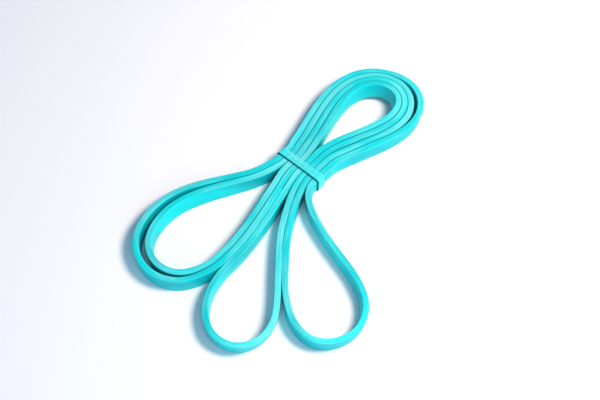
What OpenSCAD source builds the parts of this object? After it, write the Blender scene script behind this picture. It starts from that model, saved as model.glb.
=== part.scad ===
// Loop resistance band, folded into eight side-by-side strands and tied at the
// waist by a small keeper loop. The band stands on edge. The origin is on the
// rest surface, under the middle of the keeper; +Y runs along the bundle
// towards the nested head loops, +X to the right, +Z up.
// The band is one closed loop: head turn 1 - left outer - head turn 4 - middle -
// head turn 3 - left inner - head turn 2 - right - and back to head turn 1.

/* [Band] */
// Thickness of the latex band
band_t = 4.5; // [3.5:0.1:6.5]
// Width of the band, which is its height as it stands on edge
band_w = 12; // [8:0.5:22]
// Room between two strands that lie side by side
strand_gap = 0.2; // [0.1:0.05:0.5]

/* [Keeper] */
// Width of the keeper along the bundle
keeper_w = 7; // [4:0.5:15]
// Wall of the keeper
keeper_t = 0.9; // [0.6:0.1:2]
// Room between the keeper and the strands
keeper_gap = 0.2; // [0.1:0.05:0.5]
// How far the keeper slides each way
keeper_travel = 2.5; // [0:0.5:5]
// Outer corner radius of the keeper
keeper_r = 2; // [1:0.1:3]

/* [Loops] */
// Reach of the head loop's inner turn from the waist
head_reach = 89; // [70:1:140]
// Reach of the left loop's inner turn from the waist
left_reach = 127; // [100:1:170]
// Reach of the middle loop from the waist
middle_reach = 149; // [120:1:190]
// Reach of the right loop from the waist
right_reach = 141; // [110:1:180]
// Slack of the outermost head turn at its widest
head_slack = 2.6; // [0:0.2:6]
// Slack of the two outer head turns on the right leg, at its widest
leg_slack = 0.7; // [0:0.1:2]
// Slack of the left loop's outer turn at its widest
left_slack = 4.1; // [0:0.1:8]

/* [Joints] */
// Gap on each bending line between the tied waist and a loop
flex_gap = 0.4; // [0.2:0.1:1]
// Straight strand left beyond the keeper's travel
waist_spare = 0.3; // [0.2:0.1:2]

/* [Hidden] */

strands = 8;
head_turns = 4;
pitch = band_t + strand_gap;
waist_half = keeper_w / 2 + keeper_travel + waist_spare;
bundle_w = (strands - 1) * pitch + band_t;
keeper_in_r = 0.4;
relief_h = keeper_t + keeper_gap;
relief_run = 14;
relief_end = waist_half + relief_run;
flex_spare = 4;
curve_steps = 6;
relax_passes = 3;
waist_points = 18;
round_fn = 96;
corner_fn = 48;
tall = 100;
far = 400;
below = 2;
latex = [0.16, 0.85, 0.86];
latex_deep = [0.10, 0.78, 0.80];

// Place of strand i (1 to 8) across the waist
function strand_x(i) = (i - (strands + 1) / 2) * pitch;

// Outlines as hand-set points: x from the strand that the outline starts on,
// y from the middle of the waist.
// Line where the left loop and the middle loop lie together, from x = 0
seam_left = [[0.8, -13], [2.9, -22], [5.9, -36], [9.2, -51], [11.8, -67], [13.2, -84], [13.1, -94]];
// Line where the middle loop and the right loop lie together, from two strands over
seam_right = [[0.8, -12], [3.2, -20], [9.5, -34], [18.5, -50], [30, -65], [41.5, -79]];
// Left loop's inner turn, from strand 2
left_points = [[-1, -13], [-5, -26], [-14, -42], [-24.5, -60], [-32, -79], [-33, -98],
    [-26, -116.5], [-10.5, -125], [5, -121.2], [13.8, -109.5]];
// Middle loop, from strand 5
middle_points = [[13.9, -104], [18, -119], [28.3, -133.3], [43.3, -140.3], [58.4, -136.2],
    [66.4, -123.2], [65.2, -107.8], [57.5, -94]];
// Right loop, from strand 7, and its way home to strand 8
right_points = [[53, -89], [67.5, -98], [84.5, -99.5], [97.9, -88.6], [101.8, -72.2], [94, -56],
    [75.8, -44.5], [51.8, -36.7], [30.8, -29.2]];
right_home = [[9.3, -20.5], [1.9, -13]];
// Head loop's inner turn, from strand 4, and its way home to strand 5
head_points = [[-1.5, 17], [-5.5, 34], [-9.5, 52], [-10, 68], [-5, 81], [4.5, 88], [15, 88],
    [21.8, 81.5], [23.3, 72], [20.5, 61], [14, 46]];
head_home = [[2.5, 30], [-0.5, 17]];
// Where a slack turn stands off its neighbour, as shares of its length: start, widest and end
head_slack_span = [0.44, 0.58, 0.72];
leg_slack_span = [0.72, 0.84, 0.96];
left_slack_span = [0.08, 0.42, 0.68];

// ---- curve functions ----
function unit(v) = v / norm(v);
function left_of(v) = [-v.y, v.x];
function last(list) = list[len(list) - 1];
function flip(list) = [for (i = [len(list) - 1:-1:0]) list[i]];
function tail(list) = [for (i = [1:1:len(list) - 1]) list[i]];
function ease(u) = let (c = min(1, max(0, u))) c * c * (3 - 2 * c);

// Growth that brings the farthest point to the wanted reach
function growth(points, x0, reach) = reach / max([for (p = points) norm([p.x + x0, p.y])]);
function grown(points, x0, k) = [for (p = points) [p.x * k + x0, p.y * k]];

// Direction at knot i: that of the circle through it and its neighbours
function knot_dir(k, i, first, end) =
    i == 0 ? first :
    i == len(k) - 1 ? (is_undef(end) ? unit(k[i] - k[i - 1]) : end) :
    let (a = k[i] - k[i - 1], b = k[i + 1] - k[i])
    unit(a / norm(a) * norm(b) + b / norm(b) * norm(a));

function bend(p, q, u, v, s) =
    let (c = norm(q - p))
    (2 * s ^ 3 - 3 * s ^ 2 + 1) * p + (s ^ 3 - 2 * s ^ 2 + s) * c * u
    + (3 * s ^ 2 - 2 * s ^ 3) * q + (s ^ 3 - s ^ 2) * c * v;

// Smooth curve through the knots, which leaves along first and arrives along end
function curve(k, first, end = undef) = relax([
    for (i = [0:len(k) - 2], j = [0:curve_steps - 1])
        bend(k[i], k[i + 1], knot_dir(k, i, first, end), knot_dir(k, i + 1, first, end), j / curve_steps),
    last(k)
], relax_passes);

// Rubber evens out its bends: each point moves towards its neighbours
function relax(p, n) = n == 0 ? p : relax([
    for (i = [0:len(p) - 1]) i == 0 || i == len(p) - 1 ? p[i] : (p[i - 1] + 2 * p[i] + p[i + 1]) / 4
], n - 1);

function dir_at(p, i) = unit(p[min(i + 1, len(p) - 1)] - p[max(i - 1, 0)]);
function beside(p, d) = [for (i = [0:len(p) - 1]) p[i] + d * left_of(dir_at(p, i))];
function step(p, i) = norm(p[min(i + 1, len(p) - 1)] - p[i]);
// Length of the route up to each of its points
function runs(p) = [for (i = 0, s = 0; i < len(p); s = s + step(p, i), i = i + 1) s];

// A bump from 0 to 1 and back, along the share f of a route: span is its start, peak and end
function bump(f, span) =
    f < span[1] ? ease((f - span[0]) / (span[1] - span[0])) : ease((span[2] - f) / (span[2] - span[1]));

// A turn that lies d beside p, and slack more over the span
function outside(p, d, slack, span) =
    let (s = runs(p))
    [for (i = [0:len(p) - 1])
        p[i] + (d + slack * bump(s[i] / last(s), span)) * left_of(dir_at(p, i))];

// ---- routes of the band's centre line ----
forward = [0, 1];
back = [0, -1];
head_k = growth(head_points, strand_x(4), head_reach);
left_k = growth(left_points, strand_x(2), left_reach);
middle_k = growth(middle_points, strand_x(5), middle_reach);
right_k = growth(right_points, strand_x(7), right_reach);

seam_left_line = curve(concat([[0, -waist_half]], grown(seam_left, 0, min(left_k, middle_k))), back);
seam_right_line = curve(
    concat([[2 * pitch, -waist_half]], grown(seam_right, 2 * pitch, min(middle_k, right_k))), back);
seam_left_end = dir_at(seam_left_line, len(seam_left_line) - 1);
seam_right_end = dir_at(seam_right_line, len(seam_right_line) - 1);

head_inner = curve(concat([[strand_x(4), waist_half]], grown(head_points, strand_x(4), head_k),
    grown(head_home, strand_x(5), head_k), [[strand_x(5), waist_half]]), forward, back);
head_middle = outside(head_inner, 2 * pitch, leg_slack, leg_slack_span);
function head_route(turn) =
    turn == 1 ? outside(head_middle, pitch, head_slack, head_slack_span) :
    turn == 2 ? head_middle :
    outside(head_inner, (head_turns - turn) * pitch, 0, head_slack_span);

left_leg = beside(seam_left_line, -1.5 * pitch);
left_inner = concat(
    curve(concat([[strand_x(2), -waist_half]], grown(left_points, strand_x(2), left_k), [last(left_leg)]),
        back, -seam_left_end),
    tail(flip(left_leg)));
left_outer = outside(left_inner, -pitch, -left_slack, left_slack_span);

middle_left_leg = beside(seam_left_line, pitch / 2);
middle_right_leg = beside(seam_right_line, -pitch / 2);
middle_route = concat(
    middle_left_leg,
    tail(curve(concat([last(middle_left_leg)], grown(middle_points, strand_x(5), middle_k),
        [last(middle_right_leg)]), seam_left_end, -seam_right_end)),
    tail(flip(middle_right_leg)));

right_left_leg = beside(seam_right_line, pitch / 2);
right_route = concat(
    right_left_leg,
    tail(curve(concat([last(right_left_leg)], grown(right_points, strand_x(7), right_k),
        grown(right_home, strand_x(8), right_k), [[strand_x(8), -waist_half]]),
        seam_right_end, forward)));

// ---- building blocks ----
// Flat ribbon of the band's thickness along a route
module ribbon(route) {
    polygon(concat(beside(route, band_t / 2), flip(beside(route, -band_t / 2))));
}

module standing_band(route) {
    difference() {
        linear_extrude(height = band_w) ribbon(route);
        keeper_relief();
    }
}

// The strands rise over the keeper's lower run
module keeper_relief() {
    translate([-far / 2, 0, 0]) rotate([90, 0, 90])
        linear_extrude(height = far)
            polygon([[-relief_end, -below], [-relief_end, 0], [-waist_half, relief_h],
                [waist_half, relief_h], [relief_end, 0], [relief_end, -below]]);
}

// Radius of the bending line of loops that n strands run into
function flex_r(n) = norm([n * pitch / 2, waist_half + flex_spare]);

// The disc that the waist keeps: a loop turns about its middle
module flex_disc(x, n, extra) {
    translate([x, 0, -below]) cylinder(h = tall, r = flex_r(n) + extra, $fn = round_fn);
}

module loop_band(route, x, n, tint) {
    color(tint) difference() {
        standing_band(route);
        flex_disc(x, n, flex_gap);
    }
}

// The tail loops bend in two groups, about the middle of the left strands and of the right ones
tail_n = strands / 2;
function tail_x(i) = i <= tail_n ? strand_x((tail_n + 1) / 2) : strand_x(tail_n + (tail_n + 1) / 2);

// Route of strand i through the waist, from the tail loop to the head turn
function tail_route(i) = i == 1 ? left_outer : i == 2 ? left_inner : i == 3 ? flip(left_inner) :
    i == 4 ? flip(left_outer) : i == 5 ? middle_route : i == 6 ? flip(middle_route) :
    i == 7 ? right_route : flip(right_route);
function head_side(i) = i <= head_turns ? head_route(i) : flip(head_route(strands + 1 - i));
function first_of(list, n) = [for (i = [0:n - 1]) list[i]];

// The half of a disc on one side of the waist's middle line
module half_disc(x, n, side) {
    intersection() {
        flex_disc(x, n, 0);
        translate([-far / 2, side > 0 ? 0 : -far, -below]) cube([far, far, tall]);
    }
}

module waist_strand(i) {
    route = concat(flip(first_of(tail_route(i), waist_points)), first_of(head_side(i), waist_points));
    color(i % 2 == 0 ? latex : latex_deep) intersection() {
        standing_band(route);
        union() {
            half_disc(0, strands, 1);
            half_disc(tail_x(i), tail_n, -1);
        }
    }
}

module round_rect(w, h, r) {
    translate([-w / 2 + r, 0]) square([w - 2 * r, h]);
    translate([-w / 2, r]) square([w, h - 2 * r]);
    for (sx = [-1, 1], sy = [0, 1])
        translate([sx * (w / 2 - r), sy == 0 ? r : h - r]) circle(r = r, $fn = corner_fn);
}

module keeper() {
    in_w = bundle_w + 2 * keeper_gap;
    in_h = band_w - relief_h + 2 * keeper_gap;
    color([0.22, 0.88, 0.90])
        translate([0, keeper_w / 2, 0]) rotate([90, 0, 0])
            linear_extrude(height = keeper_w)
                difference() {
                    round_rect(in_w + 2 * keeper_t, in_h + 2 * keeper_t, keeper_r);
                    translate([0, keeper_t]) round_rect(in_w, in_h, keeper_in_r);
                }
}

module head_turn(turn) {
    loop_band(head_route(turn), 0, strands, turn % 2 == 0 ? latex : latex_deep);
}

module left_loop_outer() {
    loop_band(left_outer, tail_x(1), tail_n, latex_deep);
}

module left_loop_inner() {
    loop_band(left_inner, tail_x(1), tail_n, latex);
}

module middle_loop() {
    loop_band(middle_route, tail_x(strands), tail_n, latex_deep);
}

module right_loop() {
    loop_band(right_route, tail_x(strands), tail_n, latex);
}

for (i = [1:strands])
    waist_strand(i);
for (turn = [1:head_turns])
    head_turn(turn);
left_loop_outer();
left_loop_inner();
middle_loop();
right_loop();
keeper();
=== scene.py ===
# Loop resistance band, folded into a bundle and tied by its keeper.
# Metres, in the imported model's frame: origin under the keeper, +Y towards the head loops, +Z up.
import math

import bmesh
import bpy
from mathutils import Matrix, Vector


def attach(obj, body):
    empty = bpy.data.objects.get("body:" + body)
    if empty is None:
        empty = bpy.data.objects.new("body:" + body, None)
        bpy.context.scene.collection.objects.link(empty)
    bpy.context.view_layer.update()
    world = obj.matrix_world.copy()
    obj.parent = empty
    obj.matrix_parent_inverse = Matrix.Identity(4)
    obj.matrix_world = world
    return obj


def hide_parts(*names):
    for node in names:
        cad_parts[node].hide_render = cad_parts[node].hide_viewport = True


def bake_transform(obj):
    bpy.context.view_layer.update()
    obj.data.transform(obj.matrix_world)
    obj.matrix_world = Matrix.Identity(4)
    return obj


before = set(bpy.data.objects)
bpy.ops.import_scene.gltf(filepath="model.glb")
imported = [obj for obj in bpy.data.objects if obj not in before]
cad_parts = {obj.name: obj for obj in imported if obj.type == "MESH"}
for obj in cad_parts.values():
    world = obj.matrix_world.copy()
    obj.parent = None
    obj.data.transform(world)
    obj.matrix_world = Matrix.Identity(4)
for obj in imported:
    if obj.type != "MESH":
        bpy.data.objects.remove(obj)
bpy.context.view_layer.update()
mm = 0.001

# ---- what the band measures ----
band = {
    "thickness": 4.5 * mm,
    "width": 12 * mm,
    "gap": 0.2 * mm,            # between strands that lie side by side
    "rounding": 0.5 * mm,       # on the long edges
    "layers": 9,                # latex sheets rolled up into the thickness
    "layerGroove": 0.035 * mm,
    "layerPoints": 4,           # of the section, over each sheet's groove
    "cornerSteps": 4,
    "wallRows": 7,
    "wallBow": 0.06 * mm,
    "step": 1.1 * mm,           # length of one facet along the band
    "waver": 0.16 * mm,         # how uneven the edges run
    "waverScale": 34.0,
    "waverTwist": 0.35,         # how far the upper edge's waver differs from the lower one's
    "seedStep": 7.3,            # between two stretches' wavers
    "lapStep": 0.3 * mm,        # where the last latex sheet ends
    "lapRun": 40 * mm,
    "apart": 410 * mm,          # between the stretches' places in the material
    "openRoom": 20 * mm,        # farther off than this counts as open
    "ownPoints": 12,            # route points to each side that are not a neighbour
    "besideShare": 0.7,         # how squarely to the side a neighbour has to lie
    "headRide": 0.3 * mm,       # how much higher each head turn rides than the one outside it
}
waist = {
    "strands": 8,
    "half": 6.3 * mm,           # straight run on each side of the middle
    "rise": 1.1 * mm,           # over the keeper's lower run
    "riseRun": 14 * mm,
    "squeeze": 0.045,           # how much the keeper draws the strands together
    "squeezeRun": (6.3 * mm, 13 * mm),      # full up to the first distance, gone at the second
    "tiedRun": (22 * mm, 16 * mm),          # loops that swing count as neighbours this far, then fade
    "stillRun": (6 * mm, 12 * mm),          # no waver this far, then it fades in
}
keeper = {
    "width": 7 * mm,
    "wall": 0.9 * mm,
    "gap": 0.2 * mm,
    "corner": 2.0 * mm,
    "rounding": 0.3 * mm,
    "pinch": 0.35 * mm,         # how much narrower it is on top
    "dip": 0.16 * mm,           # how far it sinks between two strands
    "lip": 0.5 * mm,            # how far its edge towards the tail loops stands up
    "lipRise": (-2.2, -0.1),    # the lip over the width: slope, and start
    "topFrom": (0.7, 0.25),     # shares of its height: where the top begins, and over how much
    "cornerSteps": 4,
    "turnSteps": 8,
    "runSteps": 96,
}
pitch = band["thickness"] + band["gap"]

# ---- the routes' own points, in mm: x from the starting strand, y from the waist ----
seamLeft = [(0.8, -13), (2.9, -22), (5.9, -36), (9.2, -51), (11.8, -67), (13.2, -84), (13.1, -94)]
seamRight = [(0.8, -12), (3.2, -20), (9.5, -34), (18.5, -50), (30, -65), (41.5, -79)]
leftPoints = [(-1, -13), (-5, -26), (-14, -42), (-24.5, -60), (-32, -79), (-33, -98),
              (-26, -116.5), (-10.5, -125), (5, -121.2), (13.8, -109.5)]
middlePoints = [(13.9, -104), (18, -119), (28.3, -133.3), (43.3, -140.3), (58.4, -136.2),
                (66.4, -123.2), (65.2, -107.8), (57.5, -94)]
rightPoints = [(53, -89), (67.5, -98), (84.5, -99.5), (97.9, -88.6), (101.8, -72.2), (94, -56),
               (75.8, -44.5), (51.8, -36.7), (30.8, -29.2)]
rightHome = [(9.3, -20.5), (1.9, -13)]      # from the strand that the loop comes home to
headPoints = [(-1.5, 17), (-5.5, 34), (-9.5, 52), (-10, 68), (-5, 81), (4.5, 88), (15, 88),
              (21.8, 81.5), (23.3, 72), (20.5, 61), (14, 46)]
headHome = [(2.5, 30), (-0.5, 17)]
reach = {"head": 89, "left": 127, "middle": 149, "right": 141}
# how far a slack turn stands off its neighbour, and over which share of its length
slack = {
    "head": (2.6 * mm, (0.44, 0.58, 0.72)),
    "leg": (0.7 * mm, (0.72, 0.84, 0.96)),
    "left": (4.1 * mm, (0.08, 0.42, 0.68)),
}
curveSteps = 6
relaxPasses = 3


def strandX(i):
    return (i - (waist["strands"] + 1) / 2) * pitch


def placed(points, x0, far):
    # the points in metres, grown so that the farthest one is at the loop's reach
    x0mm = x0 / mm
    grow = far / max(math.hypot(x + x0mm, y) for x, y in points) if far else 1.0
    return [Vector((x * grow * mm + x0, y * grow * mm)) for x, y in points]


def leftOf(v):
    return Vector((-v.y, v.x))


def directionAt(line, i):
    return (line[min(i + 1, len(line) - 1)] - line[max(i - 1, 0)]).normalized()


def beside(line, d):
    return [p + d * leftOf(directionAt(line, i)) for i, p in enumerate(line)]


def curve(knots, first, end=None):
    # smooth curve through the knots; each inner knot turns with the circle through its neighbours
    def knotDirection(i):
        if i == 0:
            return first
        if i == len(knots) - 1:
            return end or (knots[i] - knots[i - 1]).normalized()
        a, b = knots[i] - knots[i - 1], knots[i + 1] - knots[i]
        return (a.normalized() * b.length + b.normalized() * a.length).normalized()

    line = []
    for i in range(len(knots) - 1):
        p, q = knots[i], knots[i + 1]
        c = (q - p).length
        u, v = knotDirection(i) * c, knotDirection(i + 1) * c
        for j in range(curveSteps):
            s = j / curveSteps
            line.append((2 * s**3 - 3 * s**2 + 1) * p + (s**3 - 2 * s**2 + s) * u
                        + (3 * s**2 - 2 * s**3) * q + (s**3 - s**2) * v)
    line.append(knots[-1])
    for _ in range(relaxPasses):
        inner = [(line[i - 1] + 2 * line[i] + line[i + 1]) / 4 for i in range(1, len(line) - 1)]
        line = [line[0]] + inner + [line[-1]]
    return line


def shares(line):
    # how far along the line each point is, from 0 to 1
    runs = [0.0]
    for a, b in zip(line, line[1:]):
        runs.append(runs[-1] + (b - a).length)
    return [r / runs[-1] for r in runs]


def ease(u):
    c = min(1.0, max(0.0, u))
    return c * c * (3 - 2 * c)


def bump(f, span):
    start, peak, end = span
    return ease((f - start) / (peak - start)) if f < peak else ease((end - f) / (end - peak))


def outside(line, d, loose, span):
    return [p + (d + loose * bump(f, span)) * leftOf(directionAt(line, i))
            for i, (p, f) in enumerate(zip(line, shares(line)))]


def makeRoutes():
    forward, back = Vector((0, 1)), Vector((0, -1))
    half = waist["half"]
    seamL = curve([Vector((0, -half))] + placed(seamLeft, 0, 0), back)
    seamR = curve([Vector((2 * pitch, -half))] + placed(seamRight, 2 * pitch, 0), back)
    seamLEnd = directionAt(seamL, len(seamL) - 1)
    seamREnd = directionAt(seamR, len(seamR) - 1)
    legL = beside(seamL, -1.5 * pitch)
    inner = curve([Vector((strandX(2), -half))] + placed(leftPoints, strandX(2), reach["left"]) + [legL[-1]],
                  back, -seamLEnd) + legL[-2::-1]
    legML, legMR = beside(seamL, pitch / 2), beside(seamR, -pitch / 2)
    middle = legML + curve([legML[-1]] + placed(middlePoints, strandX(5), reach["middle"]) + [legMR[-1]],
                           seamLEnd, -seamREnd)[1:] + legMR[-2::-1]
    legR = beside(seamR, pitch / 2)
    right = legR + curve([legR[-1]] + placed(rightPoints, strandX(7), reach["right"])
                         + placed(rightHome, strandX(8), 0) + [Vector((strandX(8), -half))],
                         seamREnd, forward)[1:]
    head = curve([Vector((strandX(4), half))] + placed(headPoints, strandX(4), reach["head"])
                 + placed(headHome, strandX(5), 0) + [Vector((strandX(5), half))], forward, back)
    leftSlack, leftSpan = slack["left"]
    routes = {
        "leftInner": inner,
        "leftOuter": outside(inner, -pitch, -leftSlack, leftSpan),
        "middle": middle,
        "right": right,
        "head4": head,
        "head3": outside(head, pitch, 0, slack["leg"][1]),
        "head2": outside(head, 2 * pitch, *slack["leg"]),
    }
    routes["head1"] = outside(routes["head2"], pitch, *slack["head"])
    return routes


# Each stretch of the band: its route, how far it leans out (degrees, and over which share of its
# length), which side is out, how many strands of its block lie outside it, and how far its middle
# rides up. lapAt is where a stretch's last latex sheet ends, from the middle of the waist
stretches = {
    "head_band_1": {"route": "head1", "lean": 13, "span": (0.15, 0.50, 0.85), "out": 1, "inside": 0},
    "head_band_2": {"route": "head2", "lean": 13, "span": (0.15, 0.50, 0.85), "out": 1, "inside": 1,
                    "ride": band["headRide"]},
    "head_band_3": {"route": "head3", "lean": 13, "span": (0.15, 0.50, 0.85), "out": 1, "inside": 2,
                    "ride": 2 * band["headRide"]},
    "head_band_4": {"route": "head4", "lean": 13, "span": (0.15, 0.50, 0.85), "out": 1, "inside": 3,
                    "ride": 3 * band["headRide"]},
    "left_band_outer": {"route": "leftOuter", "lean": 13, "span": (0.02, 0.26, 0.64), "out": -1, "inside": 0},
    "left_band_inner": {"route": "leftInner", "lean": 12, "span": (0.02, 0.26, 0.64), "out": -1, "inside": 0},
    "middle_band": {"route": "middle", "lean": 15, "span": (0.36, 0.55, 0.72), "out": -1, "inside": 0},
    "right_band": {"route": "right", "lean": 12, "span": (0.38, 0.55, 0.85), "out": -1, "inside": 0,
                   "lapAt": 87 * mm, "lapSide": -1},
}
joins = {
    "head_band_1": ("head", ["head_turn_1", "waist_strand_1", "waist_strand_8"]),
    "head_band_2": ("head", ["head_turn_2", "waist_strand_2", "waist_strand_7"]),
    "head_band_3": ("head", ["head_turn_3", "waist_strand_3", "waist_strand_6"]),
    "head_band_4": ("head", ["head_turn_4", "waist_strand_4", "waist_strand_5"]),
    "left_band_outer": ("left_loops", ["left_loop_outer"]),
    "left_band_inner": ("left_loops", ["left_loop_inner"]),
    "middle_band": ("middle_loop", ["middle_loop"]),
    "right_band": ("right_loop", ["right_loop"]),
}


# ---- camera, lights and floor ----
def makeCamera():
    view = {"place": (0.5034, -0.5802, 1.1944), "aim": (0.0138, -0.0170, 0.0), "lens": 120, "sensor": 36}
    data = bpy.data.cameras.new("camera")
    data.lens = view["lens"]
    data.sensor_width = view["sensor"]
    obj = bpy.data.objects.new("camera", data)
    obj.location = view["place"]
    looking = Vector(view["aim"]) - Vector(view["place"])
    obj.rotation_euler = looking.to_track_quat("-Z", "Y").to_euler()
    bpy.context.scene.collection.objects.link(obj)
    bpy.context.scene.camera = obj


lighting = {
    "right": Vector((0.755, 0.656, 0)),       # the camera's right, and its up, along the floor
    "up": Vector((-0.656, 0.755, 0)),
    "key": {"right": 0.53, "up": -0.12, "height": 0.88, "size": 0.38, "power": 12.0,
            "colour": (1.0, 0.80, 0.68)},
    "fill": {"right": 0.35, "up": -1.1, "height": 0.95, "size": 1.3, "power": 6.8,
             "colour": (0.56, 0.86, 1.0)},
    "sky": (0.46, 0.72, 1.0),
    "skyStrength": 0.38,
    "floor": (0.93, 0.94, 0.96),
    "floorRoughness": 0.85,
    "floorShine": 0.2,
    "floorHalf": 3.0,
}


def makeLight(name):
    spec = lighting[name]
    data = bpy.data.lights.new(name, "AREA")
    data.shape = "DISK"
    data.size = spec["size"]
    data.energy = spec["power"]
    data.color = spec["colour"]
    obj = bpy.data.objects.new(name, data)
    obj.location = (lighting["right"] * spec["right"] + lighting["up"] * spec["up"]
                    + Vector((0, 0, spec["height"])))
    obj.rotation_euler = (-obj.location).to_track_quat("-Z", "Y").to_euler()
    bpy.context.scene.collection.objects.link(obj)


def makeStage():
    makeLight("key")
    makeLight("fill")
    world = bpy.data.worlds.new("studio")
    world.use_nodes = True
    sky = world.node_tree.nodes["Background"]
    sky.inputs["Color"].default_value = (*lighting["sky"], 1)
    sky.inputs["Strength"].default_value = lighting["skyStrength"]
    bpy.context.scene.world = world
    bpy.context.scene.view_settings.view_transform = "Standard"
    mesh = bpy.data.meshes.new("floor")
    r = lighting["floorHalf"]
    mesh.from_pydata([(-r, -r, 0), (r, -r, 0), (r, r, 0), (-r, r, 0)], [], [(0, 1, 2, 3)])
    floor = bpy.data.objects.new("floor", mesh)
    bpy.context.scene.collection.objects.link(floor)
    paper = bpy.data.materials.new("paper")
    paper.use_nodes = True
    shader = paper.node_tree.nodes["Principled BSDF"]
    shader.inputs["Base Color"].default_value = (*lighting["floor"], 1)
    shader.inputs["Roughness"].default_value = lighting["floorRoughness"]
    shader.inputs["Specular IOR Level"].default_value = lighting["floorShine"]
    mesh.materials.append(paper)


# ---- materials ----
def node(tree, kind, **values):
    made = tree.nodes.new(kind)
    for name, value in values.items():
        setattr(made, name, value)
    return made


def maths(tree, operation, a, b=None, c=None):
    made = node(tree, "ShaderNodeMath", operation=operation)
    for socket, value in zip(made.inputs, (a, b, c)):
        if value is None:
            continue
        if isinstance(value, (int, float)):
            socket.default_value = value
        else:
            tree.links.new(value, socket)
    return made.outputs[0]


def share(tree, value, start, end):
    # 0 where value is at start, 1 where it is at end
    made = node(tree, "ShaderNodeMapRange", interpolation_type="SMOOTHSTEP")
    made.inputs["From Min"].default_value = start
    made.inputs["From Max"].default_value = end
    tree.links.new(value, made.inputs["Value"])
    return made.outputs["Result"]


# Each noise: its scale along, across and in height, its detail and its seed
noises = {
    "layers": ((16, 950, 90), 3, 3.1),          # streaks of the rolled sheets, along the cut edges
    "sweep": ((30, 120, 70), 1, 9.4),           # broad, soft unevenness
    "haze": ((70, 500, 300), 3, 5.7),           # talc and bloom
    "patches": ((17, 60, 40), 1, 14.9),         # where more of it lies
    "grain": ((2600, 2600, 2600), 2, 1.3),
}
# What both materials share: how the noises mix, and over which of their values they act
rubber = {
    "toneMix": (0.55, 0.45),
    "toneFrom": (0.32, 0.68),
    "paintedSheenAndDustMix": (0.4, 0.6),
    "paintedSheenAndDustWhere": (0.42, 0.62),
    "reliefMix": (0.7, 0.3),
    "roughSpread": (0.07, 0.10),                # below and above the look's roughness
    "bumpStrength": 0.35,
    "bumpDepth": 0.12 * mm,
    "glowRadius": (0.15, 1.0, 1.0),
    "glowScale": 1.6 * mm,
}


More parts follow.
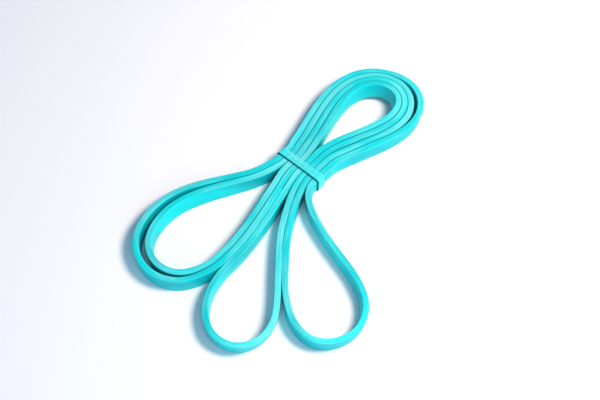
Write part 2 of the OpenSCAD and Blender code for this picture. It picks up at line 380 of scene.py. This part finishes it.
def latexMaterial(name, look):
    # Coordinates come from the piece's own attribute bandCoord: along, across and height, in metres
    material = bpy.data.materials.new(name)
    material.use_nodes = True
    tree = material.node_tree
    shader = tree.nodes["Principled BSDF"]
    coord = node(tree, "ShaderNodeAttribute", attribute_name="bandCoord").outputs["Vector"]

    def noise(name):
        scales, detail, seed = noises[name]
        stretch = node(tree, "ShaderNodeMapping")
        stretch.inputs["Scale"].default_value = scales
        stretch.inputs["Location"].default_value = (seed, seed * 0.37, seed * 0.71)
        tree.links.new(coord, stretch.inputs["Vector"])
        made = node(tree, "ShaderNodeTexNoise")
        made.inputs["Scale"].default_value = 1.0
        made.inputs["Detail"].default_value = detail
        tree.links.new(stretch.outputs[0], made.inputs["Vector"])
        return made.outputs["Fac"]

    def mixed(a, b, weights):
        return maths(tree, "ADD", maths(tree, "MULTIPLY", a, weights[0]),
                     maths(tree, "MULTIPLY", b, weights[1]))

    layers, sweep, haze, patches, grain = [noise(key) for key in noises]
    tone = mixed(layers, sweep, rubber["toneMix"])
    ramp = node(tree, "ShaderNodeValToRGB")
    for element, position, colour in zip(ramp.color_ramp.elements, rubber["toneFrom"], ("deep", "bright")):
        element.position = position
        element.color = (*look[colour], 1)
    tree.links.new(tone, ramp.inputs["Fac"])
    # whitening: partly talc dust in random patches, partly a painted sheen, since on the band only the top
    # faces get it and so read lighter than the walls
    paintedSheenAndDust = node(tree, "ShaderNodeMix", data_type="RGBA")
    paintedSheenAndDust.inputs["B"].default_value = (*look["paintedSheenAndDust"], 1)
    tree.links.new(ramp.outputs["Color"], paintedSheenAndDust.inputs["A"])
    amount = node(tree, "ShaderNodeMapRange")
    amount.inputs["From Min"].default_value, amount.inputs["From Max"].default_value = rubber["paintedSheenAndDustWhere"]
    amount.inputs["To Min"].default_value, amount.inputs["To Max"].default_value = look["paintedSheenAndDusting"]
    tree.links.new(mixed(haze, patches, rubber["paintedSheenAndDustMix"]), amount.inputs["Value"])
    parts = node(tree, "ShaderNodeSeparateXYZ")
    tree.links.new(coord, parts.inputs[0])
    onTop = share(tree, parts.outputs["Z"], *look["paintedSheenAndDustFrom"])
    tree.links.new(maths(tree, "MULTIPLY", amount.outputs["Result"], onTop), paintedSheenAndDust.inputs["Factor"])
    # painted shade: the rims of the cut edges at the top are darkened; on the band only where a neighbour
    # lies close, on the keeper along both its edges
    rim = parts.outputs[look["paintedShadeAxis"]]
    rim = maths(tree, "MAXIMUM", maths(tree, "MULTIPLY", rim, -1.0),
                maths(tree, "SUBTRACT", rim, look["paintedShadeBias"]))
    paintedShade = maths(tree, "MULTIPLY", share(tree, rim, *look["paintedShadeFrom"]), onTop)
    if look["shadeGaps"]:
        # where another strand lies close by, the rims and the walls below them get less light
        room = node(tree, "ShaderNodeAttribute", attribute_name="roomBeside").outputs["Fac"]
        paintedShade = maths(tree, "MULTIPLY", paintedShade, share(tree, room, *look["rimRoom"]))
        below = maths(tree, "MULTIPLY", share(tree, parts.outputs["Z"], *look["wallFrom"]),
                      share(tree, room, *look["wallRoom"]))
        paintedShade = maths(tree, "MAXIMUM", paintedShade, below)
    shaded = node(tree, "ShaderNodeMix", data_type="RGBA")
    shaded.inputs["B"].default_value = (*look["paintedShadeColour"], 1)
    tree.links.new(maths(tree, "MULTIPLY", paintedShade, look["paintedShadeDepth"]), shaded.inputs["Factor"])
    tree.links.new(paintedSheenAndDust.outputs["Result"], shaded.inputs["A"])
    tree.links.new(shaded.outputs["Result"], shader.inputs["Base Color"])

    rough = node(tree, "ShaderNodeMapRange")
    rough.inputs["To Min"].default_value = look["roughness"] - rubber["roughSpread"][0]
    rough.inputs["To Max"].default_value = look["roughness"] + rubber["roughSpread"][1]
    tree.links.new(haze, rough.inputs["Value"])
    tree.links.new(rough.outputs["Result"], shader.inputs["Roughness"])

    bumpNode = node(tree, "ShaderNodeBump")
    bumpNode.inputs["Strength"].default_value = rubber["bumpStrength"]
    bumpNode.inputs["Distance"].default_value = rubber["bumpDepth"]
    tree.links.new(mixed(layers, grain, rubber["reliefMix"]), bumpNode.inputs["Height"])
    tree.links.new(bumpNode.outputs["Normal"], shader.inputs["Normal"])

    shader.inputs["Subsurface Weight"].default_value = look["glow"]
    shader.inputs["Subsurface Radius"].default_value = rubber["glowRadius"]
    shader.inputs["Subsurface Scale"].default_value = rubber["glowScale"]
    shine = maths(tree, "MULTIPLY", maths(tree, "SUBTRACT", 1.0, paintedShade), look["shine"])
    tree.links.new(shine, shader.inputs["Specular IOR Level"])
    return material


latexLook = {
    "deep": (0.0, 0.52, 0.57),
    "bright": (0.0, 0.80, 0.82),
    "paintedSheenAndDust": (0.46, 0.96, 0.95),
    "paintedSheenAndDusting": (0.02, 0.31),
    # the painted sheen and dust lie on the top faces only
    "paintedSheenAndDustFrom": (band["width"] - 1.2 * band["rounding"], band["width"] - 0.3 * band["rounding"]),
    "paintedShadeAxis": "Y",                      # painted shade lies on the sides of the cut edges, in the gaps
    "paintedShadeBias": 0.0,                      # how much fainter the painted shade is on the far side
    "paintedShadeFrom": (band["thickness"] / 2 - 1.4 * band["rounding"], band["thickness"] / 2),
    "shadeGaps": True,
    "rimRoom": (1.6 * mm, 0.4 * mm),
    "wallFrom": (0.97 * band["width"], 0.70 * band["width"]),
    "wallRoom": (8 * mm, 1.5 * mm),
    # colour of the painted shade in the gaps between strands
    "paintedShadeColour": (0.0, 0.23, 0.28),
    "paintedShadeDepth": 0.9,
    "roughness": 0.40,
    "shine": 0.16,
    "glow": 0.03,
}
# the keeper's coordinates run round it, into its depth and over its width, so its rims are along Z; a painted
# shade line darkens its edges, strongest on the edge towards the tail loops, where it lifts off the strands
keeperLook = dict(latexLook, deep=(0.0, 0.53, 0.57), bright=(0.02, 0.86, 0.87), roughness=0.36,
                  paintedSheenAndDustFrom=(-1, 0), paintedShadeAxis="Z", paintedShadeBias=0.55 * mm,
                  paintedShadeFrom=(0.36 * keeper["width"], 0.49 * keeper["width"]),
                  paintedShadeColour=(0.0, 0.10, 0.14), paintedShadeDepth=0.95, shadeGaps=False)


# ---- the band ----
def sectionOutline():
    # the band's section, counter-clockwise, as (across, height above its lower edge)
    halfT, width, r = band["thickness"] / 2, band["width"], band["rounding"]
    layerT = band["thickness"] / band["layers"]

    def corner(cx, cy, start):
        steps = band["cornerSteps"]
        turns = [start + k * math.pi / 2 / steps for k in range(steps + 1)]
        return [(cx + r * math.cos(a), cy + r * math.sin(a)) for a in turns]

    def groove(x):
        return band["layerGroove"] * (1 - abs(math.sin(math.pi * x / layerT)))

    def cutEdge(sign):
        # one of the two cut edges, between its corners, where the sheets' ends show
        count = band["layerPoints"] * (band["layers"] - 2)
        xs = [(-1 + 2 * (k + 0.5) / count) * (halfT - r) * -sign for k in range(count)]
        return [(x, (width if sign > 0 else 0) - sign * groove(x)) for x in xs]

    def wall(sign):
        rows = [k / band["wallRows"] for k in range(1, band["wallRows"])]
        rows = rows if sign > 0 else rows[::-1]
        return [(sign * (halfT + band["wallBow"] * math.sin(math.pi * f)), r + f * (width - 2 * r))
                for f in rows]

    return (corner(halfT - r, r, -math.pi / 2) + wall(1) + corner(halfT - r, width - r, 0) + cutEdge(1)
            + corner(-halfT + r, width - r, math.pi / 2) + wall(-1)
            + corner(-halfT + r, r, math.pi) + cutEdge(-1))


def lineObject(name, points, attributes, closed=False):
    mesh = bpy.data.meshes.new(name)
    edges = [(i, i + 1) for i in range(len(points) - 1)]
    if closed:
        edges.append((len(points) - 1, 0))
    mesh.from_pydata(points, edges, [])
    for key, (kind, values) in attributes.items():
        made = mesh.attributes.new(key, kind, "POINT")
        if kind == "FLOAT":
            made.data.foreach_set("value", values)
        else:
            made.data.foreach_set("vector", [c for v in values for c in v])
    obj = bpy.data.objects.new(name, mesh)
    bpy.context.scene.collection.objects.link(obj)
    return obj


def sweepTree():
    # Sweeps the section along a route, leans it, lifts its lower edge and makes it waver a little
    tree = bpy.data.node_groups.new("bandSweep", "GeometryNodeTree")
    face = tree.interface
    face.new_socket("Geometry", in_out="INPUT", socket_type="NodeSocketGeometry")
    face.new_socket("Section", in_out="INPUT", socket_type="NodeSocketObject")
    for name in ("Step", "Width", "Waver", "Waver Scale", "Waver Twist", "Lap Step", "Seed"):
        face.new_socket(name, in_out="INPUT", socket_type="NodeSocketFloat")
    face.new_socket("Material", in_out="INPUT", socket_type="NodeSocketMaterial")
    face.new_socket("Geometry", in_out="OUTPUT", socket_type="NodeSocketGeometry")
    nodes, links = tree.nodes, tree.links
    given = nodes.new("NodeGroupInput").outputs
    result = nodes.new("NodeGroupOutput").inputs

    def named(name, kind="FLOAT"):
        made = node(tree, "GeometryNodeInputNamedAttribute", data_type=kind)
        made.inputs["Name"].default_value = name
        return made.outputs["Attribute"]

    def vector(operation, a, b, scale=None):
        made = node(tree, "ShaderNodeVectorMath", operation=operation)
        for socket, value in ((made.inputs[0], a), (made.inputs[1], b)):
            if value is not None and not isinstance(value, tuple):
                links.new(value, socket)
            elif value is not None:
                socket.default_value = value
        if scale is not None:
            links.new(scale, made.inputs["Scale"])
        return made.outputs[0]

    path = node(tree, "GeometryNodeMeshToCurve")
    links.new(given["Geometry"], path.inputs["Mesh"])
    smooth = node(tree, "GeometryNodeCurveSplineType", spline_type="CATMULL_ROM")
    links.new(path.outputs[0], smooth.inputs["Curve"])
    even = node(tree, "GeometryNodeResampleCurve")
    even.mode = "LENGTH"
    links.new(smooth.outputs[0], even.inputs["Curve"])
    links.new(given["Step"], even.inputs["Length"])
    centre = node(tree, "GeometryNodeStoreNamedAttribute", data_type="FLOAT_VECTOR", domain="POINT")
    centre.inputs["Name"].default_value = "centre"
    links.new(even.outputs[0], centre.inputs["Geometry"])
    links.new(node(tree, "GeometryNodeInputPosition").outputs[0], centre.inputs["Value"])

    info = node(tree, "GeometryNodeObjectInfo", transform_space="ORIGINAL")
    links.new(given["Section"], info.inputs["Object"])
    rim = node(tree, "GeometryNodeMeshToCurve")
    links.new(info.outputs["Geometry"], rim.inputs["Mesh"])
    swept = node(tree, "GeometryNodeCurveToMesh")
    links.new(centre.outputs[0], swept.inputs["Curve"])
    links.new(rim.outputs[0], swept.inputs["Profile Curve"])
    swept.inputs["Fill Caps"].default_value = True

    # the waver: one slow wander sideways for each edge, and one in height
    drift = node(tree, "ShaderNodeTexNoise", noise_dimensions="4D")
    drift.inputs["Detail"].default_value = 1.0
    links.new(named("centre", "FLOAT_VECTOR"), drift.inputs["Vector"])
    links.new(given["Waver Scale"], drift.inputs["Scale"])
    heightShare = maths(tree, "DIVIDE", named("height"), given["Width"])
    twist = maths(tree, "MULTIPLY", heightShare, given["Waver Twist"])
    links.new(maths(tree, "ADD", twist, given["Seed"]), drift.inputs["W"])
    parts = node(tree, "FunctionNodeSeparateColor")
    links.new(drift.outputs["Color"], parts.inputs[0])
    sideways = maths(tree, "MULTIPLY", maths(tree, "SUBTRACT", parts.outputs[0], 0.5), given["Waver"])
    upwards = maths(tree, "MULTIPLY", maths(tree, "SUBTRACT", parts.outputs[1], 0.5), given["Waver"])
    free = named("free")
    sideways = maths(tree, "MULTIPLY", sideways, free)
    upwards = maths(tree, "MULTIPLY", maths(tree, "MULTIPLY", upwards, free),
                    maths(tree, "MULTIPLY", heightShare, 2.0))

    # the lap: up to it the wall is one sheet thicker
    outer = maths(tree, "GREATER_THAN", maths(tree, "MULTIPLY", named("across"), named("lap")), 0.0)
    lap = maths(tree, "MULTIPLY", maths(tree, "MULTIPLY", outer, named("lap")), given["Lap Step"])
    across = maths(tree, "ADD", maths(tree, "ADD", named("across"), sideways), lap)
    squeezed = maths(tree, "MULTIPLY", heightShare, maths(tree, "SUBTRACT", given["Width"], named("lift")))
    height = maths(tree, "ADD", squeezed, named("lift"))

    tilt, pivot = named("lean"), named("pivot")
    sine, cosine = maths(tree, "SINE", tilt), maths(tree, "COSINE", tilt)
    arm = maths(tree, "SUBTRACT", across, pivot)
    halfUp = maths(tree, "SUBTRACT", height, maths(tree, "MULTIPLY", given["Width"], 0.5))
    x = maths(tree, "ADD", maths(tree, "ADD", pivot, maths(tree, "MULTIPLY", arm, cosine)),
              maths(tree, "MULTIPLY", halfUp, sine))
    z = maths(tree, "SUBTRACT", maths(tree, "MULTIPLY", height, cosine), maths(tree, "MULTIPLY", arm, sine))
    z = maths(tree, "ADD", maths(tree, "ADD", z, upwards), named("ride"))
    sideDirection = vector("NORMALIZE", named("side", "FLOAT_VECTOR"), None)
    moved = vector("ADD", named("centre", "FLOAT_VECTOR"), vector("SCALE", sideDirection, None, x))
    lifted = node(tree, "ShaderNodeCombineXYZ")
    links.new(z, lifted.inputs["Z"])
    place = node(tree, "GeometryNodeSetPosition")
    links.new(swept.outputs[0], place.inputs["Geometry"])
    links.new(vector("ADD", moved, lifted.outputs[0]), place.inputs["Position"])

    coord = node(tree, "ShaderNodeCombineXYZ")
    for socket, value in zip(coord.inputs, (named("along"), named("across"), named("height"))):
        links.new(value, socket)
    stored = node(tree, "GeometryNodeStoreNamedAttribute", data_type="FLOAT_VECTOR", domain="POINT")
    stored.inputs["Name"].default_value = "bandCoord"
    links.new(place.outputs[0], stored.inputs["Geometry"])
    links.new(coord.outputs[0], stored.inputs["Value"])
    # the room beside each side of the section, which sets the painted shade in the gaps
    onLeft = maths(tree, "GREATER_THAN", named("across"), 0.0)
    room = maths(tree, "ADD", maths(tree, "MULTIPLY", named("roomLeft"), onLeft),
                 maths(tree, "MULTIPLY", named("roomRight"), maths(tree, "SUBTRACT", 1.0, onLeft)))
    beside = node(tree, "GeometryNodeStoreNamedAttribute", data_type="FLOAT", domain="POINT")
    beside.inputs["Name"].default_value = "roomBeside"
    links.new(stored.outputs[0], beside.inputs["Geometry"])
    links.new(room, beside.inputs["Value"])
    real = node(tree, "GeometryNodeRealizeInstances")
    links.new(beside.outputs[0], real.inputs[0])
    painted = node(tree, "GeometryNodeSetMaterial")
    links.new(real.outputs[0], painted.inputs["Geometry"])
    links.new(given["Material"], painted.inputs["Material"])
    links.new(painted.outputs[0], result["Geometry"])
    return tree


def plainMesh(obj, tree, values, drop):
    # the modifier's result as a plain closed mesh with outward faces, without the route's attributes
    modifier = obj.modifiers.new("sweep", "NODES")
    modifier.node_group = tree
    for item in tree.interface.items_tree:
        if item.in_out == "INPUT" and item.name in values:
            modifier[item.identifier] = values[item.name]
    graph = bpy.context.evaluated_depsgraph_get()
    graph.update()
    mesh = bpy.data.meshes.new_from_object(obj.evaluated_get(graph), preserve_all_data_layers=True,
                                           depsgraph=graph)
    obj.modifiers.clear()
    obj.data = mesh
    for name in drop:
        made = mesh.attributes.get(name)
        if made:
            mesh.attributes.remove(made)
    closeMesh(mesh)


def closeMesh(mesh):
    shape = bmesh.new()
    shape.from_mesh(mesh)
    bmesh.ops.remove_doubles(shape, verts=shape.verts, dist=1e-6)
    bmesh.ops.recalc_face_normals(shape, faces=shape.faces)
    for f in shape.faces:
        f.smooth = len(f.verts) < 5
    shape.to_mesh(mesh)
    shape.free()


def drawnIn(p):
    # the keeper draws the strands together
    near, far = waist["squeezeRun"]
    return Vector((p.x * (1 - waist["squeeze"] * ease((far - abs(p.y)) / (far - near))), p.y))


def laid(route):
    # the whole line of a stretch, from the middle of the waist and back to it
    return [drawnIn(p) for p in [Vector((route[0].x, 0))] + route + [Vector((route[-1].x, 0))]]


def roomBeside(line, others):
    # clear room from each point to the nearest other strand, on the left and on the right;
    # strands that can swing away count only near the waist
    left, right = [], []
    for i, p in enumerate(line):
        out = leftOf(directionAt(line, i))
        near = {1: band["openRoom"], -1: band["openRoom"]}
        swing = band["openRoom"] * ease((abs(p.y) - waist["tiedRun"][0]) / waist["tiedRun"][1])
        for other, tied in others:
            for k, q in enumerate(other):
                if other is line and abs(k - i) < band["ownPoints"]:
                    continue
                away = (q - p).length
                sideways = (q - p).dot(out)
                side = 1 if sideways > 0 else -1
                if abs(sideways) > band["besideShare"] * away:
                    near[side] = min(near[side], away - band["thickness"] + (0 if tied else swing))
        left.append(near[1])
        right.append(near[-1])
    return left, right


def makeStretch(name, spec, routes, section, tree, material, order):
    route = routes[spec["route"]]
    headSide = route[0].y > 0
    line = laid(route)
    others = [(line, True)]
    for key, other in routes.items():
        if key != spec["route"] and (other[0].y > 0) == headSide:
            others.append((laid(other), key[:4] == spec["route"][:4]))
    roomLeft, roomRight = roomBeside(line, others)
    bumps = [0.0] + [bump(f, spec["span"]) for f in shares(route)] + [0.0]
    leans = [math.radians(spec["lean"]) * b for b in bumps]
    rides = [spec.get("ride", 0.0) * b for b in bumps]
    straight = Vector((0, 1 if headSide else -1))
    sides = [leftOf(directionAt(line, i)) for i in range(len(line))]
    sides[0] = sides[1] = leftOf(straight)
    sides[-1] = sides[-2] = leftOf(-straight)
    runs = [s * sum((b - a).length for a, b in zip(line, line[1:])) for s in shares(line)]
    riseEnd = waist["half"] + waist["riseRun"]
    lifts = [waist["rise"] * ease((riseEnd - abs(p.y)) / waist["riseRun"]) for p in line]
    pivot = spec["out"] * (spec["inside"] * pitch + band["thickness"] / 2)
    laps = [0.0] * len(line)
    if "lapAt" in spec:
        # thickens slowly up to the sheet's end, then drops within a millimetre
        lapAt, lapSide = spec["lapAt"], spec["lapSide"]
        laps = [lapSide * ease((s - lapAt) / band["lapRun"] + 1) * ease((lapAt - s) / mm) for s in runs]
    still, fade = waist["stillRun"]
    attributes = {
        "lean": ("FLOAT", [spec["out"] * a for a in leans]),
        "pivot": ("FLOAT", [pivot] * len(line)),
        "lift": ("FLOAT", lifts),
        "lap": ("FLOAT", laps),
        "along": ("FLOAT", [s + order * band["apart"] for s in runs]),
        "ride": ("FLOAT", rides),
        "roomLeft": ("FLOAT", roomLeft),
        "roomRight": ("FLOAT", roomRight),
        "free": ("FLOAT", [ease((abs(p.y) - still) / fade) for p in line]),
        "side": ("FLOAT_VECTOR", [(s.x, s.y, 0) for s in sides]),
    }
    obj = lineObject(name, [(p.x, p.y, 0) for p in line], attributes)
    values = {"Section": section, "Step": band["step"], "Width": band["width"], "Waver": band["waver"],
              "Waver Scale": band["waverScale"], "Waver Twist": band["waverTwist"],
              "Lap Step": band["lapStep"], "Seed": order * band["seedStep"], "Material": material}
    plainMesh(obj, tree, values, list(attributes) + ["centre", "across", "height"])

    # the leaning band's own centre line
    path = []
    for p, side, tilt, lift, ride in zip(line, sides, attributes["lean"][1], lifts, rides):
        up = (band["width"] + lift) / 2
        x = pivot * (1 - math.cos(tilt)) + (up - band["width"] / 2) * math.sin(tilt)
        q = p + side * x
        path.append((q.x, q.y, up * math.cos(tilt) + pivot * math.sin(tilt) + ride))
    return obj, path


def joinStretch(obj, name, path):
    body, nodes = joins[name]
    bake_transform(obj)
    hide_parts(*nodes)
    length = sum(math.dist(a, b) for a, b in zip(path, path[1:]))
    return length


# ---- the keeper ----
drawnPitch = pitch * (1 - waist["squeeze"])


def keeperRing():
    # round the bundle, in x and z: each point of the outer face with its outward direction
    bundle = (waist["strands"] - 1) * drawnPitch + band["thickness"]
    wide = bundle + 2 * keeper["gap"] + 2 * keeper["wall"]
    tall = band["width"] - waist["rise"] + 2 * keeper["gap"] + 2 * keeper["wall"]
    r, turn = keeper["corner"], keeper["turnSteps"]
    centres = [Vector((wide / 2 - r, r)), Vector((wide / 2 - r, tall - r)),
               Vector((-wide / 2 + r, tall - r)), Vector((-wide / 2 + r, r))]
    ring = []
    for c, centre in enumerate(centres):
        first = math.pi / 2 * (c - 1)
        for k in range(turn + 1):
            a = first + math.pi / 2 * k / turn
            out = Vector((math.cos(a), math.sin(a)))
            ring.append((centre + r * out, out))
        count = keeper["runSteps"] if c % 2 else turn
        start, end = centre + r * out, centres[(c + 1) % 4] + r * out
        ring += [(start.lerp(end, k / count), out) for k in range(1, count)]
    return ring, tall


def keeperSection():
    # along the bundle, and depth below the outer face
    half, wall, edge = keeper["width"] / 2, keeper["wall"], keeper["rounding"]
    points = []
    for c, (side, depth) in enumerate([(1, edge), (1, wall - edge), (-1, wall - edge), (-1, edge)]):
        for k in range(keeper["cornerSteps"] + 1):
            a = math.pi / 2 * (c - 1 + k / keeper["cornerSteps"])
            points.append((side * (half - edge) + edge * math.cos(a), depth + edge * math.sin(a)))
        if c % 2:
            points += [(side * (half - edge) * (1 - k / 2), wall if side > 0 else 0) for k in range(1, 4)]
    return points


def makeKeeper(material):
    ring, tall = keeperRing()
    section = keeperSection()
    halfBundle = waist["strands"] * pitch / 2
    topStart, topRun = keeper["topFrom"]
    lipSlope, lipStart = keeper["lipRise"]
    verts, coords, run = [], [], 0.0
    for i, (p, out) in enumerate(ring):
        run += (p - ring[i - 1][0]).length if i else 0.0
        top = ease((p.y - tall * topStart) / (tall * topRun))
        sink = keeper["dip"] * top * (0.5 + 0.5 * math.cos(2 * math.pi * p.x / drawnPitch))
        narrow = 1 - keeper["pinch"] / keeper["width"] * top * (1 - (abs(p.x) / halfBundle) ** 2)
        for y, depth in section:
            lip = keeper["lip"] * top * ease(lipSlope * y / keeper["width"] + lipStart)
            q = p - out * (depth + sink - lip)
            verts.append((q.x, y * narrow, q.y))
            coords.append((run, depth, y))
    n, m = len(ring), len(section)
    faces = [(i * m + j, i * m + (j + 1) % m, ((i + 1) % n) * m + (j + 1) % m, ((i + 1) % n) * m + j)
             for i in range(n) for j in range(m)]
    mesh = bpy.data.meshes.new("keeper_band")
    mesh.from_pydata(verts, [], faces)
    made = mesh.attributes.new("bandCoord", "FLOAT_VECTOR", "POINT")
    made.data.foreach_set("vector", [c for v in coords for c in v])
    mesh.materials.append(material)
    closeMesh(mesh)
    obj = bpy.data.objects.new("keeper_band", mesh)
    bpy.context.scene.collection.objects.link(obj)
    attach(obj, "keeper")
    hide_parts("keeper")


print("routes and camera")
makeCamera()
makeStage()
routes = makeRoutes()
latex = latexMaterial("latex", latexLook)

print("band")
outline = sectionOutline()
places = {"across": ("FLOAT", [u for u, v in outline]), "height": ("FLOAT", [v for u, v in outline])}
section = lineObject("section", [(u, v, 0) for u, v in outline], places, closed=True)
tree = sweepTree()
pieces = {}
for order, (name, spec) in enumerate(stretches.items()):
    pieces[name] = makeStretch(name, spec, routes, section, tree, latex, order)
bpy.data.objects.remove(section)
for name, (obj, path) in pieces.items():
    length = joinStretch(obj, name, path)
    print(name, round(length, 4), len(obj.data.polygons))

print("keeper")
makeKeeper(latexMaterial("latex_keeper", keeperLook))
